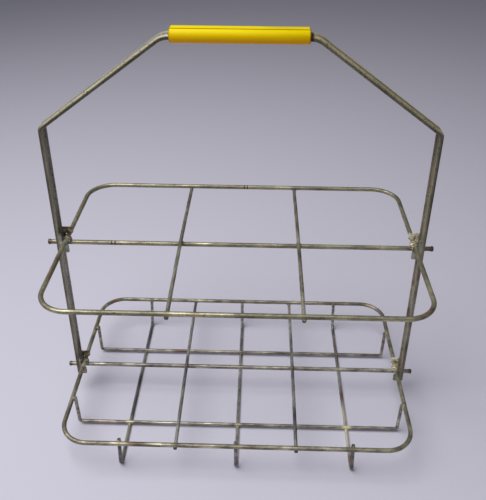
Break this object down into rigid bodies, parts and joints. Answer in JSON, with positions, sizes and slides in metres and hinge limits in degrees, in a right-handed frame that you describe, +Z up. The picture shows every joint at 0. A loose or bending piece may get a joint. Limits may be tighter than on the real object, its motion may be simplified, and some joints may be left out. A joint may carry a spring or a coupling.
{
  "type": "folding wire bottle carrier",
  "caption": "Folding bottle carrier: welded wire racks pivot on rods between the legs of a bent strip handle with an oval plastic grip, so bottles stand in cells and the carrier folds flat.",
  "frame": {"origin": "on the floor, below the middle of the carrier's outer box", "axes": "+Z up; +X along the racks and the grip; the handle folds towards -Y"},
  "size_m": [0.3402, 0.203, 0.3611],
  "materials": {
    "strip_steel": "tarnished galvanised strip",
    "rim_steel": "tarnished galvanised wire",
    "cross_steel": "tarnished galvanised wire, worn dark at the welds",
    "grip_plastic": "satin moulded plastic"
  },
  "bodies": {
    "lower_rack": {"lower_rim": "rim_steel", "lower_pivot_rod": "rim_steel", "lower_divider_left": "cross_steel", "lower_divider_right": "cross_steel", "runner_left": "cross_steel", "runner_centre": "cross_steel", "runner_right": "cross_steel", "bottle_rest_front": "cross_steel", "bottle_rest_back": "cross_steel"},
    "handle": {"handle_strap": "strip_steel", "grip": "grip_plastic"},
    "upper_rack": {"upper_rim": "rim_steel", "upper_pivot_rod": "rim_steel", "upper_divider_left": "cross_steel", "upper_divider_right": "cross_steel"}
  },
  "joints": [
    {"name": "handle_fold", "type": "hinge", "parent": "lower_rack", "child": "handle", "pos_m": [0, 0, 0.03075], "axis": [1, 0, 0], "range_deg": [0, 80]},
    {"name": "upper_rack_fold", "type": "hinge", "parent": "handle", "child": "upper_rack", "pos_m": [0, 0, 0.17715], "axis": [-1, 0, 0], "range_deg": [0, 80]}
  ]
}
